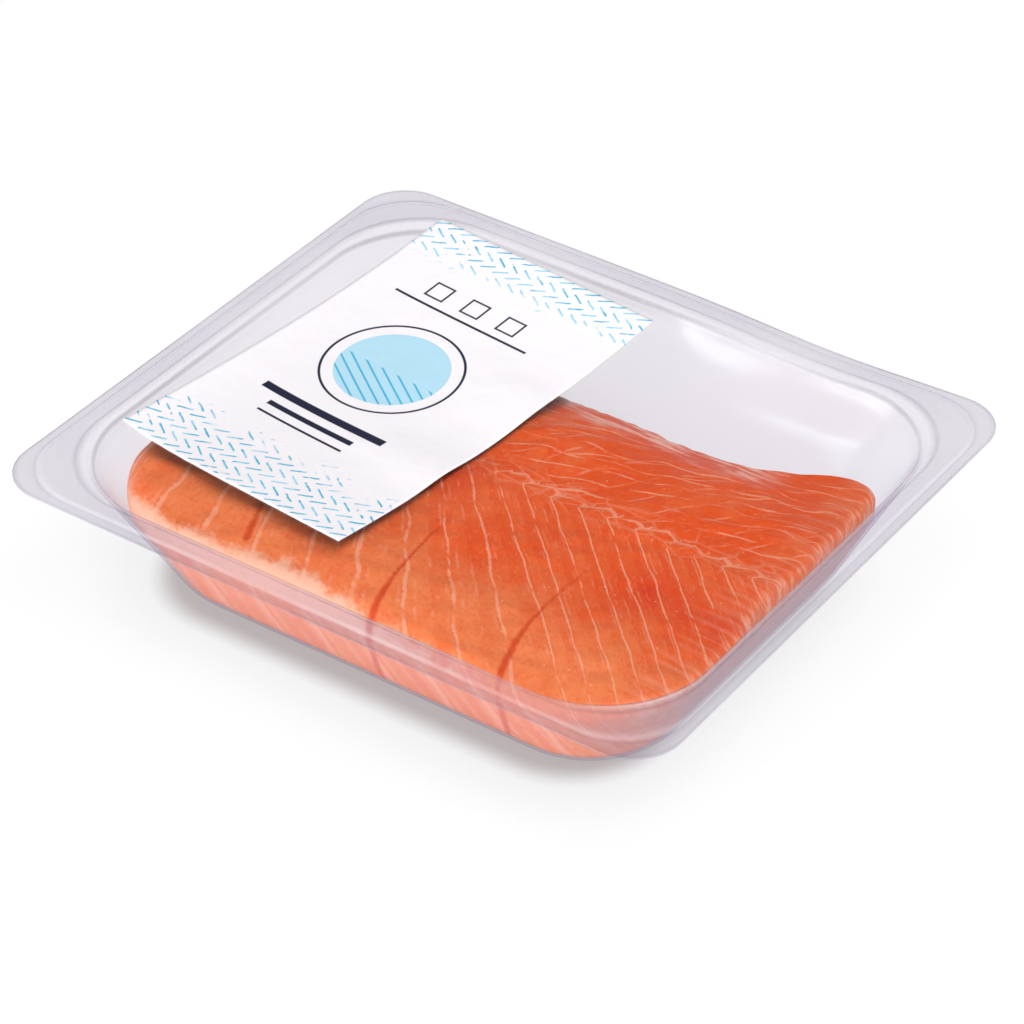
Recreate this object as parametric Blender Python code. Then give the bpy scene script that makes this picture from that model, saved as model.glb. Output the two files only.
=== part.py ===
"""A sealed pack of salmon fillet, lying on its flat base.

A clear formed tray with a wide flange holds one thick piece of fillet. A clear film is sealed over the
flange and sinks towards the fish, and a paper label lies on the film. The tray's long side runs along X,
the base rests on z = 0 and the origin is under the middle of the pack.
"""

import math

import bmesh
import bpy
import numpy as np

MM = 0.001
TINY = 1e-9

# Tray
FLANGE_LENGTH = 190 * MM
FLANGE_WIDTH = 164 * MM
FLANGE_MARGIN = 8 * MM
FLANGE_CORNER = 13 * MM
RIM_BAND = 2.4 * MM
RIM_STEP = 0.6 * MM
OPENING_CORNER = 29 * MM
TRAY_DEPTH = 39 * MM
TRAY_WALL = 0.6 * MM
SHOULDER_START = 1.0 * MM
SHOULDER_RADIUS = 2.0 * MM
WALL_TILT = math.radians(65)
WALL_END_CORNER = 26 * MM
BASE_EDGE_RADIUS = 14.7 * MM

# The far edge of the flange is drawn in a little, towards its right end.
DRAW_IN = 2.0 * MM
DRAW_IN_X = 45 * MM
DRAW_IN_REACH = 28 * MM
DRAW_IN_DEPTH = 15 * MM

# Film
GAP = 0.3 * MM
FILM_THICK = 0.3 * MM
FILM_SAG = 5.5 * MM
FILM_SAG_POWER = 8

# Label
LABEL_LENGTH = 119 * MM
LABEL_WIDTH = 72 * MM
LABEL_THICK = 0.25 * MM
LABEL_LIFT = 0.4 * MM
LABEL_X = -42.4 * MM
LABEL_Y = 10.3 * MM
LABEL_TURN = math.radians(-5.5)

# Fillet: its own outline, seen from above, where the tray's wall doesn't hold it in
FILLET_MIDDLE = (0.0, -16 * MM)
FILLET_EDGE = (
    (-100, -60), (-81, -30), (-81, 5), (-77, 24), (-63, 36), (-35, 39), (5, 39), (30, 38.5),
    (46, 38.5), (58, 43), (68, 49.5), (76, 48), (78.5, 36), (80.5, 10), (81, -20), (100, -60),
    (95, -95), (0, -95), (-95, -95),
)
FILLET_CLEAR = 0.6 * MM

# The fillet's upper face, below the flange, falls away towards its near and its far edge.
FILLET_TOP = 6.4 * MM
NEAR_FALL = 2.5 * MM
NEAR_FALL_START = -44 * MM
FAR_FALL = 3.5 * MM
FAR_FALL_START = 16 * MM
FALL_LENGTH = 24 * MM

# Its upper edge is sharper along the clean cut at the right end.
EDGE_ROUND = 5.5 * MM
CUT_END_ROUND = 3 * MM
CUT_END_ANGLE = math.radians(30)
CUT_END_FADE = math.radians(38)

# Slits where the flakes of the fillet have parted: start, bend and end, from above
SLITS = (
    ((1, -24), (3.5, -42), (7, -67)),
    ((44, -17), (42.5, -42), (46, -69)),
    ((-41, -42), (-38.5, -50), (-35, -60)),
)
SLIT_WIDTH = 1.5 * MM
SLIT_DEPTH = 2.2 * MM
SLIT_TIP = 0.3
SLIT_HEAD = 6 * MM

# How finely the solids are divided. The shares place the loops of the film's sunken part, outwards in, of
# the fillet's upper face, inwards out, and of its side, downwards.
CORNER_STEPS = 7
SIDE_STEPS = 5
SHOULDER_STEPS = 3
BASE_EDGE_STEPS = 5
LABEL_STEPS_ALONG = 22
LABEL_STEPS_ACROSS = 8
FILLET_STEPS = 72
FILLET_EDGE_STEPS = 3
OUTLINE_STEPS = 8
SLIT_STEPS = 10
FILM_SHARES = (0.965, 0.93, 0.88, 0.82, 0.73, 0.6, 0.42, 0.2)
FILLET_TOP_SHARES = (0.15, 0.35, 0.55, 0.75, 0.9)
FILLET_SIDE_SHARES = (0.25, 0.5, 0.7, 0.85, 0.94, 1.0)
SMOOTH_ANGLE = math.radians(35)

# Base colour, roughness and alpha of each piece
FINISHES = {
    "tray": ((0.88, 0.88, 0.92), 0.08, 0.25),
    "film": ((0.90, 0.90, 0.94), 0.06, 0.20),
    "label": ((0.84, 0.84, 0.89), 0.55, 1.0),
    "fillet": ((0.80, 0.19, 0.07), 0.42, 1.0),
}


def clear_scene():
    """Remove every object, so that the model starts from nothing."""
    for old in list(bpy.data.objects):
        bpy.data.objects.remove(old, do_unlink=True)


def material(name):
    """Principled material of one piece."""
    colour, roughness, alpha = FINISHES[name]
    made = bpy.data.materials.new(name)
    made.use_nodes = True
    shader = made.node_tree.nodes["Principled BSDF"]
    shader.inputs["Base Color"].default_value = (*colour, 1.0)
    shader.inputs["Roughness"].default_value = roughness
    shader.inputs["Metallic"].default_value = 0.0
    shader.inputs["Alpha"].default_value = alpha
    return made


def add_object(name, mesh_data):
    """Turn a bmesh into a named object with its own material, smooth except over its sharp edges."""
    bmesh.ops.recalc_face_normals(mesh_data, faces=mesh_data.faces)
    mesh = bpy.data.meshes.new(name)
    mesh_data.to_mesh(mesh)
    mesh_data.free()
    mesh.shade_smooth()
    mesh.set_sharp_from_angle(angle=SMOOTH_ANGLE)
    mesh.materials.append(material(name))
    made = bpy.data.objects.new(name, mesh)
    bpy.context.collection.objects.link(made)
    return made


def closed_from_rings(rings):
    """Closed body from rings of equal length, each joined to the next, with both ends capped."""
    mesh_data = bmesh.new()
    loops = []
    for ring in rings:
        loops.append([mesh_data.verts.new(point) for point in ring])
    for first, second in zip(loops[:-1], loops[1:]):
        for step in range(len(first)):
            ahead = (step + 1) % len(first)
            mesh_data.faces.new((first[step], first[ahead], second[ahead], second[step]))
    mesh_data.faces.new(loops[0])
    mesh_data.faces.new(list(reversed(loops[-1])))
    return mesh_data


def rounded_rectangle(half_length, half_width, radius):
    """Outline points with a fixed count: a quarter arc at each corner and even steps along each side."""
    corners = ((1, 1), (-1, 1), (-1, -1), (1, -1))
    centres = [np.array((x * (half_length - radius), y * (half_width - radius))) for x, y in corners]
    points = []
    for quarter, centre in enumerate(centres):
        angles = quarter * math.pi / 2 + np.linspace(0, math.pi / 2, CORNER_STEPS + 1)
        spokes = radius * np.column_stack((np.cos(angles), np.sin(angles)))
        points.append(centre + spokes)
        next_centre = centres[(quarter + 1) % len(centres)]
        share = np.linspace(0, 1, SIDE_STEPS + 1)[1:-1, None]
        points.append(centre + share * (next_centre - centre) + spokes[-1])
    return np.vstack(points)


def corner_radius(inset):
    """Corner radius of the tray at an inset from the opening's edge, negative on the flange."""
    base_run = BASE_EDGE_RADIUS * math.sin(WALL_TILT)
    known_insets = (-FLANGE_MARGIN, 0, WALL_RUN, WALL_RUN + base_run)
    known_radii = (FLANGE_CORNER, OPENING_CORNER, WALL_END_CORNER, WALL_END_CORNER - base_run)
    return np.interp(inset, known_insets, known_radii)


def wall_run():
    """Inset at which the tray's straight wall meets the rounded edge of its base."""
    drop = TRAY_DEPTH - TRAY_WALL - (BASE_EDGE_RADIUS + SHOULDER_RADIUS) * (1 - math.cos(WALL_TILT))
    return -SHOULDER_START + SHOULDER_RADIUS * math.sin(WALL_TILT) + drop / math.tan(WALL_TILT)


WALL_RUN = wall_run()


def flange_profile():
    """Middle of the tray's sheet over the flange: inset, height below the flange's top, tilt."""
    flat = -TRAY_WALL / 2
    return [
        (-FLANGE_MARGIN, flat - RIM_STEP, 0.0),
        (-FLANGE_MARGIN + RIM_BAND, flat - RIM_STEP, 0.0),
        (-FLANGE_MARGIN + RIM_BAND + RIM_STEP, flat, 0.0),
        (-SHOULDER_START, flat, 0.0),
    ]


def cavity_profile():
    """The same from the flange down into the tray: shoulder, straight wall, rounded edge of the base."""
    flat = -TRAY_WALL / 2
    base = -TRAY_DEPTH + TRAY_WALL / 2
    base_inset = WALL_RUN + BASE_EDGE_RADIUS * math.sin(WALL_TILT)
    profile = []
    for tilt in np.linspace(0, WALL_TILT, SHOULDER_STEPS + 1)[1:]:
        inset = -SHOULDER_START + SHOULDER_RADIUS * math.sin(tilt)
        profile.append((inset, flat - SHOULDER_RADIUS * (1 - math.cos(tilt)), tilt))
    arc = []
    for tilt in np.linspace(WALL_TILT, 0, BASE_EDGE_STEPS + 1):
        inset = base_inset - BASE_EDGE_RADIUS * math.sin(tilt)
        arc.append((inset, base + BASE_EDGE_RADIUS * (1 - math.cos(tilt)), tilt))
    middle_inset = (profile[-1][0] + arc[0][0]) / 2
    middle_height = (profile[-1][1] + arc[0][1]) / 2
    return profile + [(middle_inset, middle_height, WALL_TILT)] + arc


def drawn_in(points, depth):
    """Pull points on the far side towards the middle where the flange is drawn in."""
    moved = points.copy()
    bell = np.exp(-(((points[:, 0] - DRAW_IN_X) / DRAW_IN_REACH) ** 2))
    share = max(0.0, 1 - depth / DRAW_IN_DEPTH)
    far = points[:, 1] > 0
    moved[far, 1] -= DRAW_IN * bell[far] * share
    return moved


def tray_ring(inset, height):
    """One loop round the tray at an inset from the opening's edge and a height below the flange."""
    half_length = FLANGE_LENGTH / 2 - FLANGE_MARGIN - inset
    half_width = FLANGE_WIDTH / 2 - FLANGE_MARGIN - inset
    outline = rounded_rectangle(half_length, half_width, corner_radius(inset))
    outline = drawn_in(outline, -height)
    return np.column_stack((outline, np.full(len(outline), TRAY_DEPTH + height)))


def make_tray():
    """The formed tray: one sheet of even thickness from the rim down to the base."""
    inner = []
    outer = []
    for inset, height, tilt in flange_profile() + cavity_profile():
        across = TRAY_WALL / 2 * math.sin(tilt)
        up = TRAY_WALL / 2 * math.cos(tilt)
        inner.append(tray_ring(inset + across, height + up))
        outer.append(tray_ring(inset - across, height - up))
    return add_object("tray", closed_from_rings(inner[::-1] + outer))


def film_drop(x, y):
    """How far the film sinks below its sealed edge: a long dish over the opening, nothing on the flange."""
    to_end = np.clip(np.abs(x) / (FLANGE_LENGTH / 2 - FLANGE_MARGIN), 0, 1)
    to_side = np.clip(np.abs(y) / (FLANGE_WIDTH / 2 - FLANGE_MARGIN), 0, 1)
    return FILM_SAG * (1 - to_side**2) * (1 - to_end**FILM_SAG_POWER)


def film_face(lift):
    """Loops of one face of the film, from its rim to its middle, at a height above the tray."""
    rings = [tray_ring(inset, height + TRAY_WALL / 2 + lift) for inset, height, _ in flange_profile()]
    opening = rings[-1][:, :2]
    for share in FILM_SHARES:
        spot = opening * share
        height = TRAY_DEPTH + lift - film_drop(spot[:, 0], spot[:, 1])
        rings.append(np.column_stack((spot, height)))
    return rings


def make_film():
    """The lid film: sealed on the flange, and sunk towards the fish over the opening."""
    return add_object("film", closed_from_rings(film_face(GAP + FILM_THICK)[::-1] + film_face(GAP)))


def make_label():
    """The paper label, turned a little against the tray and lying on the sunken film."""
    along = np.linspace(-LABEL_LENGTH / 2, LABEL_LENGTH / 2, LABEL_STEPS_ALONG + 1)
    across = np.linspace(-LABEL_WIDTH / 2, LABEL_WIDTH / 2, LABEL_STEPS_ACROSS + 1)
    along, across = np.meshgrid(along, across)
    x = LABEL_X + across * math.cos(LABEL_TURN) - along * math.sin(LABEL_TURN)
    y = LABEL_Y + across * math.sin(LABEL_TURN) + along * math.cos(LABEL_TURN)
    z = TRAY_DEPTH + GAP + FILM_THICK + LABEL_LIFT - film_drop(x, y)
    mesh_data = bmesh.new()
    grid = []
    for row in np.stack((x, y, z), axis=-1):
        grid.append([mesh_data.verts.new(point) for point in row])
    for first, second in zip(grid[:-1], grid[1:]):
        for step in range(LABEL_STEPS_ALONG):
            mesh_data.faces.new((first[step], first[step + 1], second[step + 1], second[step]))
    thick = bmesh.ops.extrude_face_region(mesh_data, geom=mesh_data.faces[:])
    raised = [item for item in thick["geom"] if isinstance(item, bmesh.types.BMVert)]
    bmesh.ops.translate(mesh_data, verts=raised, vec=(0, 0, LABEL_THICK))
    return add_object("label", mesh_data)


def smooth_closed(points, count):
    """Closed Catmull-Rom curve through the points, with the given number of points on each span."""
    before = np.roll(points, 1, axis=0)
    after = np.roll(points, -1, axis=0)
    beyond = np.roll(points, -2, axis=0)
    spans = []
    for t in np.linspace(0, 1, count, endpoint=False):
        spans.append(0.5 * (2 * points + (after - before) * t
                            + (2 * before - 5 * points + 4 * after - beyond) * t**2
                            + (3 * points - before - 3 * after + beyond) * t**3))
    return np.stack(spans, axis=1).reshape(-1, 2)


def fillet_reach(angles):
    """Distance from the fillet's middle to its own outline, in each direction."""
    outline = smooth_closed(np.array(FILLET_EDGE, float) * MM, OUTLINE_STEPS) - np.array(FILLET_MIDDLE)
    turn = np.arctan2(outline[:, 1], outline[:, 0])
    order = np.argsort(turn)
    reach = np.hypot(outline[:, 0], outline[:, 1])
    return np.interp(angles, turn[order], reach[order], period=2 * math.pi)


def wall_reach(angles, depth):
    """Distance from the fillet's middle to the tray's inner wall at a depth, in each direction."""
    wall = [(inset + TRAY_WALL / 2 * math.sin(tilt), -height - TRAY_WALL / 2 * math.cos(tilt))
            for inset, height, tilt in cavity_profile()]
    inset = np.interp(depth, [at for _, at in wall], [along for along, _ in wall])
    radius = corner_radius(inset)
    half_length = FLANGE_LENGTH / 2 - FLANGE_MARGIN - inset
    half_width = FLANGE_WIDTH / 2 - FLANGE_MARGIN - inset
    x0, y0 = FILLET_MIDDLE
    c = np.where(np.abs(np.cos(angles)) < TINY, TINY, np.cos(angles))
    s = np.where(np.abs(np.sin(angles)) < TINY, TINY, np.sin(angles))
    to_end = (np.sign(c) * half_length - x0) / c
    to_side = (np.sign(s) * half_width - y0) / s
    straight = np.minimum(to_end, to_side)
    x, y = x0 + straight * c, y0 + straight * s
    centre_x = np.sign(x) * (half_length - radius) - x0
    centre_y = np.sign(y) * (half_width - radius) - y0
    forward = centre_x * c + centre_y * s
    aside = centre_x * s - centre_y * c
    arc = forward + np.sqrt(np.maximum(radius**2 - aside**2, 0))
    in_corner = (np.abs(x) > half_length - radius) & (np.abs(y) > half_width - radius)
    return np.where(in_corner, arc, straight)


def ease(value):
    """Smooth step from 0 to 1."""
    t = np.clip(value, 0, 1)
    return t * t * (3 - 2 * t)


def fillet_top(y):
    """Depth of the fillet's upper face below the flange."""
    near = NEAR_FALL * ease((NEAR_FALL_START - y) / FALL_LENGTH)
    far = FAR_FALL * ease((y - FAR_FALL_START) / FALL_LENGTH)
    return FILLET_TOP + near + far


def edge_round(angles):
    """Radius of the fillet's upper edge: small along the cut end, larger elsewhere."""
    away = (np.abs(angles) - CUT_END_ANGLE) / CUT_END_FADE
    return CUT_END_ROUND + (EDGE_ROUND - CUT_END_ROUND) * ease(away)


def make_fillet():
    """The piece of fillet: its own outline, held in by the tray's wall at every depth, and three slits."""
    angles = np.linspace(-math.pi, math.pi, FILLET_STEPS, endpoint=False)
    direction = np.column_stack((np.cos(angles), np.sin(angles)))
    own = fillet_reach(angles)
    rounding = edge_round(angles)

    def spots(reach):
        return np.array(FILLET_MIDDLE) + direction * reach[:, None]

    def held_in(depth):
        return np.minimum(own, wall_reach(angles, depth) - FILLET_CLEAR)

    widest = spots(held_in(FILLET_TOP))
    shoulder = held_in(fillet_top(widest[:, 1]) + rounding) - rounding
    rings = []
    for share in FILLET_TOP_SHARES:
        spot = spots(shoulder * share)
        rings.append(np.column_stack((spot, -fillet_top(spot[:, 1]))))
    for bend in np.linspace(0, math.pi / 2, FILLET_EDGE_STEPS + 1):
        spot = spots(shoulder + rounding * math.sin(bend))
        depth = fillet_top(spot[:, 1]) + rounding * (1 - math.cos(bend))
        rings.append(np.column_stack((spot, -depth)))
    side_top = -rings[-1][:, 2]
    floor = TRAY_DEPTH - TRAY_WALL - GAP
    for share in FILLET_SIDE_SHARES:
        depth = side_top + (floor - side_top) * share
        rings.append(np.column_stack((spots(held_in(depth)), -depth)))
    for ring in rings:
        ring[:, 2] += TRAY_DEPTH
    fillet = add_object("fillet", closed_from_rings(rings))
    for number, (start, bend, end) in enumerate(SLITS):
        cut = fillet.modifiers.new(f"slit_{number}", "BOOLEAN")
        cut.operation = "DIFFERENCE"
        cut.solver = "EXACT"
        cut.object = slit_cutter(f"slit_cutter_{number}", start, bend, end)
    return fillet


def slit_cutter(name, start, bend, end):
    """Wedge along a bent line, widest at its top and slim at both ends, to cut one slit."""
    start, bend, end = (np.array(point, float) * MM for point in (start, bend, end))
    spread = 1 + SLIT_HEAD / SLIT_DEPTH
    mesh_data = bmesh.new()
    sections = []
    for t in np.linspace(0, 1, SLIT_STEPS + 1):
        middle = (1 - t) ** 2 * start + 2 * t * (1 - t) * bend + t**2 * end
        ahead = (1 - t) * (bend - start) + t * (end - bend)
        side = np.array((-ahead[1], ahead[0])) / np.hypot(*ahead)
        fullness = SLIT_TIP + (1 - SLIT_TIP) * math.sin(math.pi * t)
        half = side * SLIT_WIDTH / 2 * fullness * spread
        surface = TRAY_DEPTH - fillet_top(middle[1])
        corners = (
            (*(middle + half), surface + SLIT_HEAD),
            (*middle, surface - SLIT_DEPTH * fullness),
            (*(middle - half), surface + SLIT_HEAD),
        )
        sections.append([mesh_data.verts.new(corner) for corner in corners])
    for first, second in zip(sections[:-1], sections[1:]):
        for step in range(3):
            following = (step + 1) % 3
            mesh_data.faces.new((first[step], first[following], second[following], second[step]))
    mesh_data.faces.new(sections[0])
    mesh_data.faces.new(list(reversed(sections[-1])))
    bmesh.ops.recalc_face_normals(mesh_data, faces=mesh_data.faces)
    mesh = bpy.data.meshes.new(name)
    mesh_data.to_mesh(mesh)
    mesh_data.free()
    cutter = bpy.data.objects.new(name, mesh)
    cutter.hide_render = True
    cutter.display_type = "WIRE"
    bpy.context.collection.objects.link(cutter)
    return cutter


def main():
    clear_scene()
    make_tray()
    make_film()
    make_label()
    make_fillet()


main()
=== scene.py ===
"""Looks of a sealed pack of salmon fillet, laid out as an add-on and run as a script.

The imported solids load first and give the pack's sizes. One operator makes each piece: the clear tray, the
clear film, the label, the fillet, and the stage. Shapes are worked out with numpy in metres. The tray's long
side runs along X, the pack rests on z = 0, and "inset" is the distance inwards from the edge of the tray's
opening, so it is negative on the flange.
"""

import math

import bpy
import numpy as np
from bpy.props import FloatProperty, FloatVectorProperty, PointerProperty
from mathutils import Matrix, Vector


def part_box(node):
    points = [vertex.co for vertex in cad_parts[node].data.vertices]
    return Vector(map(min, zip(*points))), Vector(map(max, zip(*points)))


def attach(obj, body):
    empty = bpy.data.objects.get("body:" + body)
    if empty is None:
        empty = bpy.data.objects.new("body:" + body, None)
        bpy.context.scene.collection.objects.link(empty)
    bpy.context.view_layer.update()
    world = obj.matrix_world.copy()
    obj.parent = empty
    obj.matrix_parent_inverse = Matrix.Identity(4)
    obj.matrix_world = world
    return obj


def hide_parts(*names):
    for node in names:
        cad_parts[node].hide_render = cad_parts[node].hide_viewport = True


bl_info = {
    "name": "Salmon Fillet Pack",
    "version": (1, 0, 0),
    "blender": (4, 5, 0),
    "location": "View3D > Sidebar > Salmon Pack",
    "description": "Makes a clear sealed tray with a piece of salmon fillet and a label",
    "category": "Object",
}

MM = 0.001
TINY = 1e-9

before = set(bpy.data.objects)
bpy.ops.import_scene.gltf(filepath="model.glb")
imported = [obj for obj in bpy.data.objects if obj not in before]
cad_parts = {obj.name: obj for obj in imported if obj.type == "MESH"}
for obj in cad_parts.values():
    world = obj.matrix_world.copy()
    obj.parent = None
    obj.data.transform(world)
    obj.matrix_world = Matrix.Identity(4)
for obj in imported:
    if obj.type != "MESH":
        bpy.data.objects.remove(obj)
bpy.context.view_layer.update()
tray_low, tray_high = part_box("tray")

# Middle of the fillet from above, and its outline in millimetres where the tray's wall doesn't hold it in
FILLET_MIDDLE = (0.0, -16 * MM)
FILLET_EDGE = (
    (-100, -60), (-81, -30), (-81, 5), (-77, 24), (-63, 36), (-35, 39), (5, 39), (30, 38.5),
    (46, 38.5), (58, 43), (67, 48.6), (73.5, 49.3), (76.8, 46.5), (77.6, 42), (78.5, 34), (80.5, 10),
    (81, -20), (100, -60), (95, -95), (0, -95), (-95, -95),
)

# Slits where flakes have parted, as start, bend and end from above, in millimetres
SLITS = (
    ((0.5, -25), (1.3, -56.5), (8.5, -70)),
    ((40.5, -17), (35.5, -50.8), (45.4, -69.4)),
    ((-41, -42), (-38.5, -50), (-35, -60)),
)

# Upper edge of the pale belly strip, from above, in millimetres
BELLY_EDGE = (
    (-84, -52), (-70, -59), (-57, -63), (-34, -62.5), (-23, -60.2), (-7, -62), (8, -64.7), (31, -67.5),
    (50, -73),
)

# Heading in which the level film mirrors the room to the camera
MIRRORED_HEADING = (-0.458, 0.654, 0.602)

# Middles and reach of the deeper red patches of the flesh, in millimetres
DEEP_PATCHES = ((56, -23, 9), (75, -24, 10), (-8, -12, 10), (30, 33, 8))


def length(name, description, millimetres):
    """A length property whose default is given in millimetres."""
    return FloatProperty(
        name=name, description=description, default=millimetres * MM, unit="LENGTH", precision=5)


def angle(name, description, degrees):
    """An angle property whose default is given in degrees."""
    return FloatProperty(name=name, description=description, default=math.radians(degrees), subtype="ANGLE")


def amount(name, description, value):
    """A plain number property."""
    return FloatProperty(name=name, description=description, default=value, precision=3)


def linear(red, green, blue):
    """Screen colour, 0 to 255, as the linear colour that Blender's sockets hold."""
    screen = np.array((red, green, blue)) / 255
    value = np.where(screen <= 0.04045, screen / 12.92, ((screen + 0.055) / 1.055) ** 2.4)
    return tuple(float(part) for part in value)


def colour(name, description, red, green, blue):
    """A colour property whose default is given as a screen colour."""
    return FloatVectorProperty(
        name=name, description=description, subtype="COLOR", size=3, min=0, max=1,
        default=linear(red, green, blue))


class TraySettings(bpy.types.PropertyGroup):
    """Sizes and finish of the clear tray."""

    length: length("Length", "Length over the flange", (tray_high.x - tray_low.x) / MM)
    width: length("Width", "Width over the flange", (tray_high.y - tray_low.y) / MM)
    depth: length("Depth", "Height of the flange's top", (tray_high.z - tray_low.z) / MM)
    wall: length("Wall", "Thickness of the formed sheet", 0.6)
    margin: length("Flange margin", "Width of the flange beside the opening", 8)
    corner: length("Flange corner", "Corner radius of the flange", 13)
    band: length("Rim band", "Width of the lowered band along the rim", 2.4)
    step: length("Rim step", "Drop from the flange to the rim band", 0.6)
    step_run: length("Step run", "Width over which the flange drops to the rim band", 0.9)
    opening_corner: length("Opening corner", "Corner radius of the opening", 29)
    shoulder_start: length("Shoulder start", "Where the flange begins to turn down, outside the opening", 1.0)
    shoulder_radius: length("Shoulder radius", "Radius of the turn from the flange into the wall", 2.0)
    wall_tilt: angle("Wall tilt", "Slope of the wall against the flange", 65)
    wall_corner: length("Wall corner", "Corner radius at the foot of the wall", 26)
    base_radius: length("Base radius", "Radius of the turn from the wall into the base", 14.7)
    draw_in: length("Draw-in", "How far the far edge is drawn towards the middle", 2.0)
    draw_in_x: length("Draw-in place", "Where along the far edge it is drawn in most", 45)
    draw_in_reach: length("Draw-in reach", "Half length of the drawn-in stretch", 28)
    draw_in_depth: length("Draw-in depth", "How far down the wall the draw-in fades out", 15)
    tint: colour("Tint", "What one face of the sheet lets through", 252, 251, 254)
    edge_tint: colour("Edge tint", "What one face of the sheet lets through when seen edge-on", 212, 200, 216)
    mirror: amount("Mirror", "Share of light that one face mirrors when seen face-on", 0.04)
    haze: amount("Haze", "Share of light that one face scatters", 0.006)
    seal_haze: amount("Seal haze", "Share of light that one face of the sealed flange scatters", 0.06)
    relief: length("Relief", "Height of the broad unevenness of the far wall", 0.45)


class FilmSettings(bpy.types.PropertyGroup):
    """Sizes and finish of the lid film."""

    gap: length("Gap", "Height of the film over the flange", 0.1)
    thickness: length("Thickness", "Thickness of the film", 0.12)
    sag: length("Sag", "How far the film sinks at its middle", 5.5)
    sag_power: amount("Sag power", "How flat the sunken film stays towards its two ends", 8)
    tint: colour("Tint", "What one face of the film lets through", 254, 254, 254)
    edge_tint: colour("Edge tint", "What one face of the film lets through when seen edge-on", 220, 216, 226)
    mirror: amount("Mirror", "Share of light that one face mirrors when seen face-on", 0.03)
    haze: amount("Haze", "Share of light that one face scatters", 0.003)


class LabelSettings(bpy.types.PropertyGroup):
    """Sizes and colours of the paper label."""

    length: length("Length", "Length of the label", 119)
    width: length("Width", "Width of the label", 72)
    thickness: length("Thickness", "Thickness of the paper", 0.2)
    lift: length("Lift", "Height of the label over the film", 0.08)
    x: length("X", "Place of the label's middle along the pack", -42.4)
    y: length("Y", "Place of the label's middle across the pack", 10.3)
    turn: angle("Turn", "How far the label is turned against the tray", -5.5)
    ripple: length("Ripple", "Height of the two ripples at the label's right edge", 0.8)
    paper: colour("Paper", "Colour of the bare paper", 246, 242, 245)
    pale_blue: colour("Pale blue", "Colour of the large plain shapes", 150, 214, 238)
    cyan: colour("Cyan", "Colour of the small strokes", 70, 178, 214)
    ink: colour("Ink", "Colour of the thin dark lines", 32, 34, 58)


class FilletSettings(bpy.types.PropertyGroup):
    """Sizes and colours of the piece of fillet."""

    clearance: length("Clearance", "Space between the fillet and the tray's wall", 0.12)
    top: length("Top", "Depth of the fillet's upper face below the flange", 6.4)
    near_fall: length("Near fall", "Further depth at the near edge", 2.5)
    near_fall_start: length("Near fall start", "Where the near fall begins", -44)
    far_fall: length("Far fall", "Further depth at the far edge", 3.5)
    far_fall_start: length("Far fall start", "Where the far fall begins", 16)
    fall_length: length("Fall length", "Length over which either fall takes place", 24)
    edge_round: length("Edge radius", "Radius of the upper edge", 5.5)
    cut_round: length("Cut edge radius", "Radius of the upper edge at the cut end", 3.0)
    cut_angle: angle("Cut end angle", "Half the angle that the cut end takes, from the fillet's middle", 30)
    cut_fade: angle("Cut end fade", "Angle over which the cut end's radius grows to the other", 38)
    flake: length("Flake", "Height of the low steps between flakes", 0.10)
    swell: length("Swell", "Height of the broad unevenness of the upper face", 0.35)
    swell_limit: length("Swell limit", "Height that the unevenness stays under", 0.5)
    groove: length("Groove", "Depth of the groove in a slit", 0.5)
    lip: length("Lip", "Height of the raised flesh beside a slit", 0.25)
    line_spacing: length("Line spacing", "Distance between fat lines along the central line", 8.2)
    central_line: length("Central line", "Place of the central line across the pack", -1)
    flesh: colour("Flesh", "Main colour", 237, 84, 20)
    light: colour("Light flesh", "Colour towards the belly and the left end", 244, 130, 74)
    deep: colour("Deep flesh", "Colour of the deeper red patches", 226, 54, 5)
    fat: colour("Fat", "Colour of the fat lines", 252, 174, 142)
    belly: colour("Belly", "Colour of the pale strip along the near edge", 250, 192, 164)
    back: colour("Back edge", "Colour of the pinkish band along the far edge", 226, 108, 92)
    # Partly the flesh's own deeper red, partly painted shade of the gap in a slit
    cut: colour("Cut", "Colour inside a slit", 220, 70, 14)


class StageSettings(bpy.types.PropertyGroup):
    """Camera, floor and light."""

    azimuth: angle("Azimuth", "Direction of the camera, from the near side towards the right", 34.98)
    elevation: angle("Elevation", "Height of the camera over the horizon", 36.94)
    distance: length("Distance", "Distance from the camera to its target", 913.1)
    target_x: length("Target X", "Point that the camera looks at, along the pack", 16.57)
    target_y: length("Target Y", "Point that the camera looks at, across the pack", -22.04)
    focal_length: amount("Focal length", "Focal length, in millimetres", 135.0)
    sensor: amount("Sensor", "Width of the camera's sensor, in millimetres", 36.0)
    floor: colour("Floor", "Colour of the floor", 126, 126, 126)
    floor_glow: colour("Floor glow", "Light that the floor gives off by itself", 231, 231, 231)


class PackSettings(bpy.types.PropertyGroup):
    """All settings of the pack."""

    tray: PointerProperty(type=TraySettings)
    film: PointerProperty(type=FilmSettings)
    label: PointerProperty(type=LabelSettings)
    fillet: PointerProperty(type=FilletSettings)
    stage: PointerProperty(type=StageSettings)


# Shader nodes written as formulas


class Value:
    """A node's output. Python's operators on it add Math nodes."""

    def __init__(self, tree, socket):
        self.tree = tree
        self.socket = socket

    def __add__(self, other):
        return self.tree.math("ADD", self, other)

    def __sub__(self, other):
        return self.tree.math("SUBTRACT", self, other)

    def __rsub__(self, other):
        return self.tree.math("SUBTRACT", other, self)

    def __mul__(self, other):
        return self.tree.math("MULTIPLY", self, other)

    def __truediv__(self, other):
        return self.tree.math("DIVIDE", self, other)

    def __pow__(self, other):
        return self.tree.math("POWER", self, other)

    def __abs__(self):
        return self.tree.math("ABSOLUTE", self)

    __radd__ = __add__
    __rmul__ = __mul__


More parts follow.
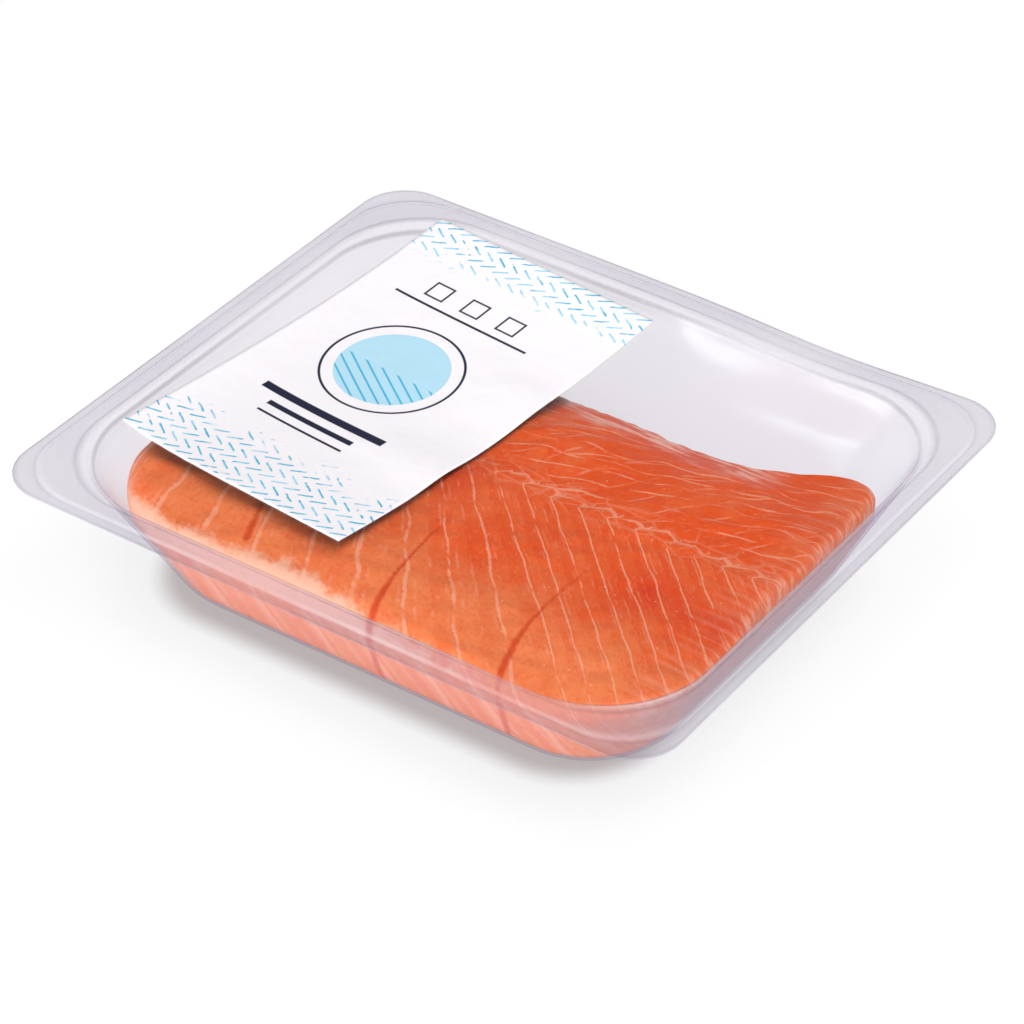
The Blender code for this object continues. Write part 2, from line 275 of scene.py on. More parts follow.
class Finish:
    """Nodes of a material or of the room's light, added one call at a time."""

    def __init__(self, owner):
        self.owner = owner
        owner.use_nodes = True
        self.graph = owner.node_tree
        self.graph.nodes.clear()

    def node(self, kind, settings=None, inputs=None, output=0):
        """Add a node: its settings, then a value or a link for each input. Returns one of its outputs."""
        made = self.graph.nodes.new(kind)
        for name, value in (settings or {}).items():
            setattr(made, name, value)
        for key, value in (inputs or {}).items():
            if isinstance(value, Value):
                self.graph.links.new(value.socket, made.inputs[key])
            elif isinstance(value, tuple) and made.inputs[key].type == "RGBA":
                made.inputs[key].default_value = (*value, 1.0)
            else:
                made.inputs[key].default_value = value
        return None if output is None else Value(self, made.outputs[output])

    def math(self, operation, first, second=0.0):
        """Operation on one or two numbers."""
        return self.node("ShaderNodeMath", {"operation": operation}, {0: first, 1: second})

    def step(self, value, low, high):
        """Smooth step from 0 at low to 1 at high."""
        settings = {"interpolation_type": "SMOOTHSTEP"}
        return self.node("ShaderNodeMapRange", settings, {0: value, 1: low, 2: high, 3: 0.0, 4: 1.0})

    def fall(self, value, low, high):
        """Smooth step from 1 at low to 0 at high."""
        return 1.0 - self.step(value, low, high)

    def greatest(self, *values):
        """The greatest of two or more values."""
        most = values[0]
        for value in values[1:]:
            most = self.math("MAXIMUM", most, value)
        return most

    def mix(self, share, first, second):
        """Colour between two colours. Sockets 6 and 7, and output 2, are the Mix node's colours."""
        return self.node("ShaderNodeMix", {"data_type": "RGBA"}, {0: share, 6: first, 7: second}, 2)

    def attribute(self, name):
        """One of the values that the mesh holds for each point."""
        return self.node("ShaderNodeAttribute", {"attribute_name": name}, output="Fac")

    def place(self):
        """Place on the piece, in millimetres."""
        spot = self.node("ShaderNodeTexCoord", output="Object")
        return self.node("ShaderNodeVectorMath", {"operation": "SCALE"}, {0: spot, "Scale": 1 / MM})

    def noise(self, vector, size, detail=2.0, roughness=0.5):
        """Noise about 0.5 with features of the given size."""
        inputs = {"Vector": vector, "Scale": 1 / size, "Detail": detail, "Roughness": roughness}
        return self.node("ShaderNodeTexNoise", None, inputs)

    def parts(self, vector):
        """The three numbers of a vector."""
        split = self.node("ShaderNodeSeparateXYZ", None, {0: vector}).socket.node
        return [Value(self, socket) for socket in split.outputs]

    def vector(self, x, y, z):
        """Three numbers as a vector."""
        return self.node("ShaderNodeCombineXYZ", None, {0: x, 1: y, 2: z})

    def bump(self, height, distance):
        """Normal of a surface that a height of 1 lifts by this distance."""
        return self.node("ShaderNodeBump", None, {"Height": height, "Distance": distance})

    def blend(self, share, first, second):
        """Shader between two shaders."""
        return self.node("ShaderNodeMixShader", None, {0: share, 1: first, 2: second})

    def surface(self, shader):
        """Use this shader as the material's surface, and return the material."""
        self.node("ShaderNodeOutputMaterial", None, {"Surface": shader}, None)
        return self.owner


def clear_material(name, settings, roughness, formed=False):
    """Clear plastic: light passes with a faint tint that deepens where the sheet is seen edge-on, a share is
    mirrored that grows with the fifth power of that angle, and a little light scatters. A formed sheet takes
    and scatters more light on its sealed flange, and painted shade and painted highlights draw thin dark and
    pale lines along its bends."""
    seal_dimming = 0.11
    painted_highlight_haze, painted_highlight_whiteness = 0.45, 3.0
    edge_mirror = 0.35
    haze_colour = (0.78, 0.74, 0.80)
    painted_highlight_line_colour = (0.92, 0.92, 0.95)
    painted_shade_line_colour = linear(150, 140, 156)

    finish = Finish(bpy.data.materials.new(name))
    away = finish.node("ShaderNodeLayerWeight", None, {"Blend": 0.5}, "Facing")
    face_on = finish.node("ShaderNodeBsdfTransparent", None, {"Color": tuple(settings.tint)})
    edge_on = finish.node("ShaderNodeBsdfTransparent", None, {"Color": tuple(settings.edge_tint)})
    absorbed = away ** 6.0
    haze_share = settings.haze
    if formed:
        # Lines of painted highlight and painted shade along the sheet's bends
        painted_highlight_line = finish.attribute("painted_highlight_line")
        sealed = finish.attribute("sealed")
        absorbed = absorbed + sealed * seal_dimming
        haze_share = sealed * settings.seal_haze + painted_highlight_line * painted_highlight_haze + settings.haze
        haze_colour = finish.mix(painted_highlight_line * painted_highlight_whiteness, haze_colour, painted_highlight_line_colour)
    through = finish.blend(absorbed, face_on, edge_on)
    if formed:
        # Painted shade: a darker tint along the bends
        bend = finish.node("ShaderNodeBsdfTransparent", None, {"Color": painted_shade_line_colour})
        through = finish.blend(finish.attribute("painted_shade_line"), through, bend)
    mirror_inputs = {"Base Color": (1.0, 1.0, 1.0), "Metallic": 1.0, "Roughness": roughness}
    mirror = finish.node("ShaderNodeBsdfPrincipled", None, mirror_inputs)
    haze_inputs = {"Base Color": haze_colour, "Roughness": 0.5, "Specular IOR Level": 0.0}
    haze = finish.node("ShaderNodeBsdfPrincipled", None, haze_inputs)
    clear = finish.blend(away ** 5.0 * edge_mirror + settings.mirror, through, mirror)
    return finish.surface(finish.blend(haze_share, clear, haze))


def label_material(label):
    """Smooth paper with a plain printed pattern: a pale disc with straight hatching and a thin ring, three
    squares, dark rules, and bands of short strokes at both ends. Places and sizes are in millimetres."""
    soft = 0.12
    count_from = 100.0
    disc_x, disc_y, disc_radius, disc_share = -4.0, 4.0, 15.0, 0.75
    ring_radius, ring_half_width = 18.5, 0.35
    hatch_spacing, hatch_slope = 3.2, 0.6
    row_height, slot_length = 3.4, 4.25
    stroke_lean, stroke_reach = 0.7, 0.40
    rules = ((-21.5, 20.0, 1.3), (-26.5, 14.0, 0.9), (-30.5, 14.0, 0.4), (30.0, 22.0, 0.4))
    square_middles, square_y, square_half, square_line = (-16.0, -4.0, 8.0), 36.0, 2.8, 0.3

    finish = Finish(bpy.data.materials.new("label_paper"))
    across, along, _ = finish.parts(finish.node("ShaderNodeUVMap", {"uv_map": "print"}))
    fibres = finish.noise(finish.place(), 0.35, detail=3.0)
    wobble = (finish.noise(finish.vector(across, along, 0.0), 2.2) - 0.5) * 0.7

    def disc(radius):
        """Distance outside a circle about the disc's middle."""
        spot = finish.vector(across - disc_x, along - disc_y, 0.0)
        reach = finish.node("ShaderNodeVectorMath", {"operation": "LENGTH"}, {0: spot}, "Value")
        return reach - radius

    def inside(distance):
        """Mask of a shape from the distance outside it."""
        return finish.fall(distance, -soft, soft)

    def bar(x, y, half_width, half_height):
        """Mask of an upright rectangle."""
        return inside(finish.greatest(abs(across - x) - half_width, abs(along - y) - half_height))

    sheet = finish.mix(fibres * 0.25, tuple(label.paper), linear(232, 228, 238))
    sheet = finish.mix(inside(disc(disc_radius)) * disc_share, sheet, tuple(label.pale_blue))
    hatch_count = (along + across * hatch_slope + count_from) / hatch_spacing
    hatch = finish.step(abs(finish.math("FRACT", hatch_count) - 0.5), 0.35, 0.45)
    lower_half = inside(disc(disc_radius)) * finish.fall(along, 3.0, 3.3)
    sheet = finish.mix(hatch * lower_half, sheet, tuple(label.cyan))
    ring = inside(abs(disc(ring_radius)) - ring_half_width)
    sheet = finish.mix(ring, sheet, tuple(label.ink))

    # Rows of short strokes, counted from beyond the label's edge. Every second row leans the other way.
    row_count = (along + wobble + count_from) / row_height
    odd_row = finish.math("MODULO", finish.math("FLOOR", row_count), 2.0)
    slot_across = finish.math("FRACT", (across + count_from) / slot_length + odd_row * 0.5) - 0.5
    slot_along = finish.math("FRACT", row_count) - 0.5
    side = 1.0 - odd_row * 2.0
    stroke = finish.fall(abs(slot_along - slot_across * side * stroke_lean), 0.06, 0.12)
    stroke = stroke * finish.fall(abs(slot_across), stroke_reach, stroke_reach + 0.04)

    # The strokes fill both ends of the label, with a ragged edge and a few gaps
    fade = finish.noise(finish.vector(across, along, 3.0), 5.0)
    near_end = finish.fall(along + (fade - 0.5) * 26.0, -45.0, -38.0)
    far_end = finish.step(along + (fade - 0.5) * 22.0, 45.0, 50.0)
    band = finish.greatest(near_end, far_end) * finish.step(fade, 0.30, 0.34)
    print_blue = finish.mix(finish.step(fade, 0.42, 0.58), tuple(label.cyan), tuple(label.pale_blue))
    sheet = finish.mix(stroke * band, sheet, print_blue)

    for y, half_width, half_height in rules:
        sheet = finish.mix(bar(disc_x, y, half_width, half_height), sheet, tuple(label.ink))
    for x in square_middles:
        outside = finish.greatest(abs(across - x), abs(along - square_y)) - square_half
        sheet = finish.mix(inside(abs(outside) - square_line), sheet, tuple(label.ink))

    creases = finish.noise(finish.place(), 9.0, detail=2.0)
    inputs = {
        "Base Color": sheet,
        "Roughness": 0.34 + creases * 0.15,
        "Specular IOR Level": 0.45,
        "Normal": finish.bump(creases + fibres * 0.08, 0.35 * MM),
    }
    return finish.surface(finish.node("ShaderNodeBsdfPrincipled", None, inputs))


def fat_mask(finish, place, fine, near_side):
    """Mask of the fat lines, which lie where near_line or far_line, counted in lines, is a whole number, of
    long lines that cross on the far side, and of the central line with its net. Lengths are millimetres."""
    flat_x, flat_y, flat_spacing = -0.27, 0.96, 4.6
    steep_x, steep_y, steep_spacing = -0.49, 0.87, 6.4
    zigzag_height = 3.6
    central_offset = 1.6

    x, y, z = finish.parts(place)
    seam = finish.attribute("seam")
    near_line = finish.attribute("near_line")
    far_line = finish.attribute("far_line")
    sway = finish.attribute("sway")
    on_side = finish.step(finish.attribute("side"), 1.0, 9.0)

    def lines(phase, along, spacing, half_width, seed, hidden):
        """Mask of thin lines at whole phases, uneven in width along their length and broken where the
        unevenness is less than hidden. Spacing is the distance from line to line, straight across."""
        wavy = phase + sway * 0.035 + (fine - 0.5) * 0.7 / spacing
        nearest = finish.math("FLOOR", wavy + 0.5)
        distance = abs(wavy - nearest) * spacing
        spot = finish.vector(nearest * 5.3 + seed, along, z * 0.2)
        uneven = finish.noise(spot, 1.0, detail=2.0, roughness=0.6)
        width = half_width * (uneven * 1.1 + 0.35) + on_side * 0.22
        mask = finish.fall(distance / width, 0.5, 1.3)
        return mask * finish.step(uneven + on_side * 0.2, hidden, hidden + 0.2)

    # The near side carries one line for each flake, and two fainter ones between
    down_near = seam * 0.2
    main = lines(near_line, down_near, spacing=6.2, half_width=0.29, seed=3.0, hidden=0.29)
    thin = lines(near_line * 3.0 + 0.4, down_near, spacing=2.1, half_width=0.22, seed=11.0, hidden=0.48)
    near_fat = finish.greatest(main, thin * 0.5) * near_side

    # The far side carries long lines at two slight angles, which cross, and a few that leave the central line
    flat_line = (y * flat_y + x * flat_x) / flat_spacing + sway * 0.16
    steep_line = (y * steep_y + x * steep_x) / steep_spacing + sway * 0.10
    flat = lines(flat_line, x * 0.10, spacing=flat_spacing, half_width=0.30, seed=7.0, hidden=0.42)
    steep = lines(steep_line, x * 0.12, spacing=steep_spacing, half_width=0.27, seed=19.0, hidden=0.45)
    branch = lines(far_line, y * 0.15, spacing=5.4, half_width=0.26, seed=5.0, hidden=0.46)
    far_fat = finish.greatest(flat, steep * 0.8, branch * 0.7) * (1.0 - near_side)

    # Net of fine lines about the central line
    spot = finish.vector(x / 9.0 + sway * 0.08, y / 4.5 + sway * 0.1, z * 0.03)
    to_edge = {"feature": "DISTANCE_TO_EDGE"}
    edges = finish.node("ShaderNodeTexVoronoi", to_edge, {"Vector": spot, "Scale": 1.0})
    net = finish.fall(edges + (fine - 0.5) * 0.05, 0.015, 0.06)
    net = net * finish.fall(abs(seam + 1.0), 2.5, 7.5) * finish.step(x, -12.0, 0.0)

    # Jagged central line, broken into stretches
    zigzag = abs(finish.math("FRACT", near_line + 0.5) - 0.5) * zigzag_height
    ragged = abs(seam + sway * 0.5 - zigzag + (fine - 0.5) * 1.2 + central_offset)
    central = finish.fall(ragged, 0.20, 0.65) * finish.step(x, -8.0, 0.0)
    central = central * finish.step(finish.attribute("mottle"), -1.8, -0.3)
    return finish.greatest(near_fat, far_fat, net * 0.4, central)


def flesh_material(fillet):
    """Moist salmon flesh: flakes with painted light and shade across each, grain, deeper patches, fat, a
    belly strip along the near edge, pale fibres down the cut end and along the far edge, slits in a darker
    red that is partly painted shade, and painted light at the left end and down the side."""
    grain_share, speckle_share, fat_share, fleck_share = 0.25, 0.30, 0.62, 0.35
    belly_share, slit_red_and_shade_share = 0.85, 0.9
    fleck_colour = linear(255, 206, 176)
    back_fibre_colour = linear(250, 196, 180)
    cut_fibre_colour = linear(250, 176, 148)

    finish = Finish(bpy.data.materials.new("salmon_flesh"))
    place = finish.place()
    x, y, z = finish.parts(place)
    seam = finish.attribute("seam")
    near_line = finish.attribute("near_line")
    mottle = finish.attribute("mottle")
    cut_end = finish.attribute("cut_end")
    back = finish.attribute("back")
    fine = finish.noise(place, 1.3, detail=3.0, roughness=0.62)
    near_side = finish.fall(seam, -0.3, 0.3)

    # Flakes, with painted light and shade across each flake, and grain of short pale strokes that follow them
    along = near_line * near_side + finish.attribute("far_line") * (1.0 - near_side)
    grain = finish.noise(finish.vector(along * 11.0, seam * 0.8, z * 0.6), 1.0, detail=3.0, roughness=0.7)
    # Painted light and shade: each flake on the near side grows paler across its width
    flake = finish.math("FRACT", near_line + finish.attribute("sway") * 0.05 + 0.5) * near_side
    # The light value is partly painted light, at the left end and down the side
    flesh = finish.mix(finish.attribute("light") + flake * 0.22, tuple(fillet.flesh), tuple(fillet.light))
    flesh = finish.mix(finish.attribute("deep"), flesh, tuple(fillet.deep))
    flesh = finish.mix(finish.step(grain, 0.50, 0.78) * grain_share, flesh, tuple(fillet.fat))
    flesh = finish.mix(finish.step(1.0 - fine, 0.48, 0.70) * speckle_share, flesh, tuple(fillet.deep))
    flesh = finish.mix(fat_mask(finish, place, fine, near_side) * fat_share, flesh, tuple(fillet.fat))

    # Flecks of fat
    cells = finish.node("ShaderNodeTexVoronoi", None, {"Vector": place, "Scale": 0.30})
    cell_colour = Value(finish, cells.socket.node.outputs["Color"])
    chosen = finish.node("ShaderNodeSeparateColor", None, {0: cell_colour})
    fleck = finish.fall(cells, 0.05, 0.11) * finish.step(chosen, 0.55, 0.57)
    flesh = finish.mix(fleck * fleck_share, flesh, fleck_colour)

    # Pale fibres: along the pinkish band at the far edge, and down the cut end
    level = finish.noise(finish.vector(x * 0.07, y * 0.75 + z * 0.75, 5.0), 1.0, detail=3.0, roughness=0.65)
    down = finish.noise(finish.vector(y * 0.60, z * 0.12, 0.0), 1.0, detail=3.0, roughness=0.65)
    flesh = finish.mix(back * 0.70, flesh, tuple(fillet.back))
    flesh = finish.mix(finish.step(level, 0.44, 0.60) * back * 0.85, flesh, back_fibre_colour)
    flesh = finish.mix(cut_end * 0.35, flesh, tuple(fillet.light))
    flesh = finish.mix(finish.step(down, 0.46, 0.62) * cut_end * 0.7, flesh, cut_fibre_colour)

    # Belly strip, and slits whose darker red is partly the flesh's own and partly painted shade of the gap
    strip = finish.step(finish.attribute("belly") + mottle * 0.8 + (grain - 0.5) * 6.0, -2.2, 1.8)
    strip = strip * finish.fall(finish.attribute("side"), 3.0, 6.0)
    flesh = finish.mix(strip * belly_share, flesh, tuple(fillet.belly))
    # Painted shade in part: the slit's darker red
    slit_red_and_shade = finish.fall(finish.attribute("slit") + (fine - 0.5) * 0.5, 0.25, 0.95)
    flesh = finish.mix(slit_red_and_shade * slit_red_and_shade_share, flesh, tuple(fillet.cut))

    inputs = {
        "Base Color": flesh,
        "Roughness": 0.36 + (fine - 0.5) * 0.3,
        "Specular IOR Level": 0.22,
        "Normal": finish.bump(fine * 0.5 + grain * 0.5, 0.11 * MM),
    }
    return finish.surface(finish.node("ShaderNodeBsdfPrincipled", None, inputs))


def floor_material(tray, stage):
    """Pale sheet that is lit from below as well, so that shadows on it stay light. Under the pack a painted
    shadow dims and warms that glow, with the distance in millimetres from the rounded outline of the tray's
    base, which is moved a little to the near left."""
    shade_x, shade_y = -3.5, -2.0
    shade_from, shade_to, shade_share = -6.0, 3.0, 0.64
    painted_shadow_colour = (0.22, 0.14, 0.145)

    finish = Finish(bpy.data.materials.new("pale_floor"))
    x, y, _ = finish.parts(finish.place())
    inset = tray.margin + wall_run(tray)
    straight_x = (tray.length / 2 - inset - tray.wall_corner) / MM
    straight_y = (tray.width / 2 - inset - tray.wall_corner) / MM
    beyond_x = finish.greatest(abs(x - shade_x) - straight_x, 0.0)
    beyond_y = finish.greatest(abs(y - shade_y) - straight_y, 0.0)
    outside = (beyond_x * beyond_x + beyond_y * beyond_y) ** 0.5 - tray.wall_corner / MM
    # Painted shadow: under the pack the floor's glow is dimmed, with a painted warm cast of the fillet's
    # bounced light
    shade = finish.fall(outside, shade_from, shade_to) * shade_share
    inputs = {
        "Base Color": tuple(stage.floor),
        "Roughness": 0.6,
        "Specular IOR Level": 0.0,
        "Emission Color": finish.mix(shade, tuple(stage.floor_glow), painted_shadow_colour),
        "Emission Strength": 1.0,
    }
    return finish.surface(finish.node("ShaderNodeBsdfPrincipled", None, inputs))


# Shapes as numpy surfaces


def ease(value):
    """Smooth step from 0 to 1."""
    t = np.clip(value, 0, 1)
    return t * t * (3 - 2 * t)


def bell(value, width):
    """Bell curve of height 1: exp(-(value / width)^2)."""
    return np.exp(-((value / width) ** 2))


def ripples(x, y, wavelength, seed, waves=14):
    """Smooth uneven surface between about -1 and 1: the sum of sine waves in seeded random directions."""
    draw = np.random.default_rng(seed)
    total = np.zeros(np.shape(x))
    for _ in range(waves):
        heading = draw.uniform(0, 2 * math.pi)
        number = 2 * math.pi / (wavelength * draw.uniform(0.7, 1.6))
        start = draw.uniform(0, 2 * math.pi)
        total += np.sin(number * (x * math.cos(heading) + y * math.sin(heading)) + start)
    return total / math.sqrt(waves)


def add_piece(name, points, faces, material, node, sharp=35, values=None):
    """Make a mesh piece with the given material that stands for a CAD node and rides on the pack."""
    mesh = bpy.data.meshes.new(name)
    mesh.from_pydata(points.tolist(), [], faces)
    for key, value in (values or {}).items():
        attribute = mesh.attributes.new(key, "FLOAT", "POINT")
        attribute.data.foreach_set("value", np.ascontiguousarray(value, np.float32))
    mesh.shade_smooth()
    mesh.set_sharp_from_angle(angle=math.radians(sharp))
    mesh.materials.append(material)
    piece = bpy.data.objects.new(name, mesh)
    bpy.context.scene.collection.objects.link(piece)
    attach(piece, "root")
    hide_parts(node)
    return piece


def closed_rows(rows):
    """Points and faces of a closed surface from a grid of rows, each a loop: quads between the rows, and a
    fan from the first and from the last row to its middle."""
    count, columns, _ = rows.shape
    points = np.vstack((rows.reshape(-1, 3), rows[0].mean(0), rows[-1].mean(0)))
    row = np.arange(count - 1)[:, None] * columns
    here = np.arange(columns)
    ahead = (here + 1) % columns
    quads = np.stack((row + here, row + ahead, row + columns + ahead, row + columns + here), axis=-1)
    last = (count - 1) * columns
    first_fan = np.stack((ahead, here, np.full(columns, count * columns)), axis=-1)
    last_fan = np.stack((last + here, last + ahead, np.full(columns, count * columns + 1)), axis=-1)
    return points, quads.reshape(-1, 4).tolist() + first_fan.tolist() + last_fan.tolist()


def row_values(grid):
    """One value for each point of closed_rows: the grid's own, and the mean of each end row in its middle."""
    return np.concatenate((grid.ravel(), [grid[0].mean(), grid[-1].mean()]))


def loop_pattern(corner_steps=20, side_steps=22):
    """Unit pattern of a rounded rectangle. Each point is (half size - radius) * across + radius * spoke."""
    corners = np.array(((1, 1), (-1, 1), (-1, -1), (1, -1)), float)
    across = []
    spokes = []
    for quarter in range(4):
        turn = quarter * math.pi / 2 + np.linspace(0, math.pi / 2, corner_steps + 1)
        spoke = np.column_stack((np.cos(turn), np.sin(turn)))
        share = np.linspace(0, 1, side_steps + 1)[1:-1, None]
        start, end = corners[quarter], corners[(quarter + 1) % 4]
        across += [np.repeat(start[None], len(turn), axis=0), start + share * (end - start)]
        spokes += [spoke, np.repeat(spoke[-1:], len(share), axis=0)]
    return np.vstack(across), np.vstack(spokes)


def wall_run(tray):
    """Inset at which the straight wall meets the rounded edge of the base."""
    drop = tray.depth - tray.wall - (tray.base_radius + tray.shoulder_radius) * (1 - math.cos(tray.wall_tilt))
    shoulder = tray.shoulder_radius * math.sin(tray.wall_tilt)
    return -tray.shoulder_start + shoulder + drop / math.tan(tray.wall_tilt)


def corner_radius(tray, inset):
    """Corner radius of the tray at an inset."""
    run = wall_run(tray)
    base_run = tray.base_radius * math.sin(tray.wall_tilt)
    known_insets = (-tray.margin, 0, run, run + base_run)
    known_radii = (tray.corner, tray.opening_corner, tray.wall_corner, tray.wall_corner - base_run)
    return np.interp(inset, known_insets, known_radii)


def tray_loops(tray, inset, height):
    """Loops round the tray, one row for each inset and height from the flange's top. The far side is drawn in
    by a bell curve along x, which fades out down the wall."""
    across, spokes = loop_pattern()
    inset = np.asarray(inset)[:, None]
    height = np.asarray(height)[:, None]
    radius = corner_radius(tray, inset)
    x = (tray.length / 2 - tray.margin - inset - radius) * across[:, 0] + radius * spokes[:, 0]
    y = (tray.width / 2 - tray.margin - inset - radius) * across[:, 1] + radius * spokes[:, 1]
    share = bell(x - tray.draw_in_x, tray.draw_in_reach) * np.clip(1 + height / tray.draw_in_depth, 0, 1)
    y = np.where(y > 0, y - tray.draw_in * share, y)
    return np.stack((x, y, tray.depth + height + np.zeros_like(x)), axis=-1)


def flange_profile(tray):
    """Middle of the sheet over the flange, from the rim inwards: inset, height and tilt. The step up from the
    rim band is a smooth step, whose steepness is 6 t (1 - t)."""
    flat = -tray.wall / 2
    band = np.linspace(-tray.margin, -tray.margin + tray.band, 8)
    rise = np.linspace(0, 1, 9)[1:]
    steepness = 6 * rise * (1 - rise)
    slope = np.arctan(tray.step * steepness / tray.step_run)
    level = np.linspace(band[-1] + tray.step_run, -tray.shoulder_start, 14)[1:]
    low = np.full(len(band), flat - tray.step)
    rising = flat - tray.step * (1 - ease(rise))
    high = np.full(len(level), flat)
    return (
        np.concatenate((band, band[-1] + tray.step_run * rise, level)),
        np.concatenate((low, rising, high)),
        np.concatenate((np.zeros(len(band)), -slope, np.zeros(len(level)))),
    )


def cavity_profile(tray):
    """The same from the flange down: an arc for the shoulder, the straight wall, an arc into the base."""
    flat = -tray.wall / 2
    base = -tray.depth + tray.wall / 2
    turn = np.linspace(0, tray.wall_tilt, 13)[1:]
    inset = -tray.shoulder_start + tray.shoulder_radius * np.sin(turn)
    height = flat - tray.shoulder_radius * (1 - np.cos(turn))
    back = np.linspace(tray.wall_tilt, 0, 19)
    foot = wall_run(tray) + tray.base_radius * (math.sin(tray.wall_tilt) - np.sin(back))
    foot_height = base + tray.base_radius * (1 - np.cos(back))
    share = np.linspace(0, 1, 26)[1:-1] ** 1.3
    wall_inset = inset[-1] + share * (foot[0] - inset[-1])
    wall_height = height[-1] + share * (foot_height[0] - height[-1])
    return (
        np.concatenate((inset, wall_inset, foot)),
        np.concatenate((height, wall_height, foot_height)),
        np.concatenate((turn, np.full(len(share), tray.wall_tilt), back)),
    )


def seal_haze_and_painted_lines(tray, inset):
    """Strength of the sealed flange's haze, and of the thin lines of painted shade and painted highlight
    along the bends, at an inset. Each line is a bell curve, given by its middle, its half width in
    millimetres and its height."""
    step = -tray.margin + tray.band
    # Dark lines are painted shade and pale lines are painted highlights
    dark = ((-tray.margin, 0.35, 0.34), (step, 0.3, 0.16), (-1.2 * MM, 0.25, 0.30), (0.9 * MM, 0.25, 0.40))
    pale = ((step + 0.8 * MM, 0.35, 0.22), (-0.4 * MM, 0.35, 0.40), (1.6 * MM, 0.4, 0.25))

    def stripes(bells):
        return sum(top * bell(inset - middle, width * MM) for middle, width, top in bells)

    sealed = 1 - ease((inset + tray.shoulder_start) / (1.2 * MM))
    return {"sealed": sealed, "painted_shade_line": stripes(dark), "painted_highlight_line": stripes(pale)}


def tray_rows(tray):
    """Rows of the whole sheet, up its outer face to the rim and back down its inner face, with the values
    that its finish reads. The wall's unevenness moves points in or out by sine waves of x - y and z, which
    fade on the near wall, at the shoulder and towards the base."""
    inset, height, tilt = (np.concatenate(pair) for pair in zip(flange_profile(tray), cavity_profile(tray)))
    depth = -height[:, None]
    on_wall = ease((depth - 1.5 * MM) / (5 * MM)) * (1 - ease((depth - 24 * MM) / (8 * MM)))
    near_share = 0.1
    base_shares = (0.8, 0.5, 0.2)
    faces = []
    for side in (-1, 1):
        offset = side * tray.wall / 2
        loops = tray_loops(tray, inset + offset * np.sin(tilt), height + offset * np.cos(tilt))
        round_tray = loops[..., 0] - loops[..., 1]
        free = near_share + (1 - near_share) * ease((loops[..., 1] - 50 * MM) / (8 * MM))
        uneven = ripples(round_tray, loops[..., 2] * 1.4, 34 * MM, 21) * tray.relief * on_wall * free
        outward = loops[..., :2] / np.hypot(loops[..., 0], loops[..., 1])[..., None]
        loops[..., :2] -= outward * uneven[..., None]
        middle = [loops[-1:] * (share, share, 1) for share in base_shares]
        faces.append(np.concatenate([loops] + middle))
    outer, inner = faces

    # The lines of painted shade and painted highlight are drawn on the inner face alone, so that they don't
    # show twice
    patchy = np.clip(1 + 0.35 * ripples(inner[..., 0], inner[..., 1], 45 * MM, 8), 0.4, 1.6)
    values = {}
    for name, value in seal_haze_and_painted_lines(tray, inset).items():
        value = np.concatenate((value, np.zeros(len(base_shares))))[:, None] * patchy
        outer_share = 1.0 if name == "sealed" else 0.0
        values[name] = np.concatenate((value[::-1] * outer_share, value))
    return np.concatenate((outer[::-1], inner)), values


def film_drop(tray, film, x, y):
    """How far the film sinks below its sealed edge:
    sag * (1 - (y / half width)^2) * (1 - (x / half length)^power)."""
    to_end = np.clip(np.abs(x) / (tray.length / 2 - tray.margin), 0, 1)
    to_side = np.clip(np.abs(y) / (tray.width / 2 - tray.margin), 0, 1)
    return film.sag * (1 - to_side**2) * (1 - to_end**film.sag_power)


def film_rows(tray, film):
    """Rows of the film: out along its lower face and back in along its upper face. Inside the opening each
    row is the opening's outline, drawn in towards the middle."""
    shares = np.linspace(1, 0.06, 44)[1:, None]
    inset, height, _ = flange_profile(tray)
    faces = []
    for lift in (film.gap, film.gap + film.thickness):
        flange = tray_loops(tray, inset, height + tray.wall / 2 + lift)
        x = flange[-1, :, 0] * shares
        y = flange[-1, :, 1] * shares
        z = tray.depth + lift - film_drop(tray, film, x, y)
        faces.append(np.concatenate((flange, np.stack((x, y, z), axis=-1))))
    lower, upper = faces
    return np.concatenate((lower[::-1], upper))


def label_grid(tray, film, label):
    """Grid of the label on the film, and its print coordinates. Two bell curves along its right edge, which
    fade out towards its middle, lift it a little."""
    along = np.linspace(-label.length / 2, label.length / 2, 121)
    across = np.linspace(-label.width / 2, label.width / 2, 73)
    along, across = np.meshgrid(along, across)
    x = label.x + across * math.cos(label.turn) - along * math.sin(label.turn)
    y = label.y + across * math.sin(label.turn) + along * math.cos(label.turn)
    film_top = tray.depth + film.gap + film.thickness - film_drop(tray, film, x, y)
    share = along / label.length + 0.5
    humps = bell(share - 0.32, 0.07) + 0.8 * bell(share - 0.62, 0.09)
    edge = ease((across / label.width + 0.1) / 0.6)
    z = film_top + label.lift + label.ripple * humps * edge
    return np.stack((x, y, z), axis=-1), across, along


def smooth_closed(points, count):
    """Closed Catmull-Rom curve through the points, with count points on each span."""
    before = np.roll(points, 1, axis=0)
    after = np.roll(points, -1, axis=0)
    beyond = np.roll(points, -2, axis=0)
    t = np.linspace(0, 1, count, endpoint=False)[:, None, None]
    curve = 0.5 * (2 * points + (after - before) * t
                   + (2 * before - 5 * points + 4 * after - beyond) * t**2
                   + (3 * points - before - 3 * after + beyond) * t**3)
    return curve.transpose(1, 0, 2).reshape(-1, 2)


def fillet_reach(angles):
    """Distance from the fillet's middle to its own outline, in each direction."""
    outline = smooth_closed(np.array(FILLET_EDGE, float) * MM, 12) - np.array(FILLET_MIDDLE)
    turn = np.arctan2(outline[:, 1], outline[:, 0])
    order = np.argsort(turn)
    reach = np.hypot(outline[:, 0], outline[:, 1])
    return np.interp(angles, turn[order], reach[order], period=2 * math.pi)


